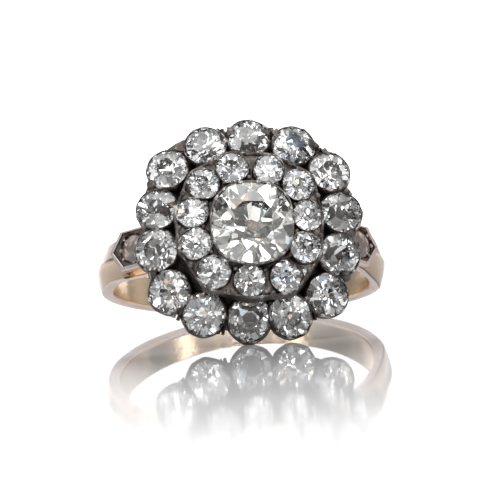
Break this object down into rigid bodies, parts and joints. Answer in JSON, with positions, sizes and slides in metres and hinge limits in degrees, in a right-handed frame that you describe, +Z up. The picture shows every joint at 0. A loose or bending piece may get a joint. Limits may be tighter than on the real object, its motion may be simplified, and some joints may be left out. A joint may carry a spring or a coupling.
{
  "type": "cluster ring",
  "caption": "Cluster ring with a cushion-cut centre stone, a raised inner row and a scalloped outer row of round stones, and a stone in a hexagonal bezel on each shoulder of a tapered hoop.",
  "frame": {"origin": "on the surface that the ring lies on, under the middle of its outline", "axes": "+Z up; the head faces -Y and leans back; X runs across the head; the finger hole's axis leans back from +Z towards +Y"},
  "size_m": [0.0198, 0.0236, 0.0147],
  "materials": {
    "gold": "polished, softly worn",
    "dark_silver": "oxidised silver with worn bright edges",
    "centre_diamond": "clear, very faintly yellow",
    "diamond": "clear",
    "shoulder_diamond": "clear, set over dark silver"
  },
  "bodies": {
    "root": {"shank": "gold", "cluster_setting": "dark_silver", "shoulder_lining_left": "dark_silver", "shoulder_lining_right": "dark_silver", "centre_stone": "centre_diamond", "inner_stone_01": "diamond", "inner_stone_02": "diamond", "inner_stone_03": "diamond", "inner_stone_04": "diamond", "inner_stone_05": "diamond", "inner_stone_06": "diamond", "inner_stone_07": "diamond", "inner_stone_08": "diamond", "inner_stone_09": "diamond", "inner_stone_10": "diamond", "inner_stone_11": "diamond", "outer_stone_01": "diamond", "outer_stone_02": "diamond", "outer_stone_03": "diamond", "outer_stone_04": "diamond", "outer_stone_05": "diamond", "outer_stone_06": "diamond", "outer_stone_07": "diamond", "outer_stone_08": "diamond", "outer_stone_09": "diamond", "outer_stone_10": "diamond", "outer_stone_11": "diamond", "outer_stone_12": "diamond", "outer_stone_13": "diamond", "outer_stone_14": "diamond", "shoulder_stone_left": "shoulder_diamond", "shoulder_stone_right": "shoulder_diamond"}
  },
  "joints": []
}
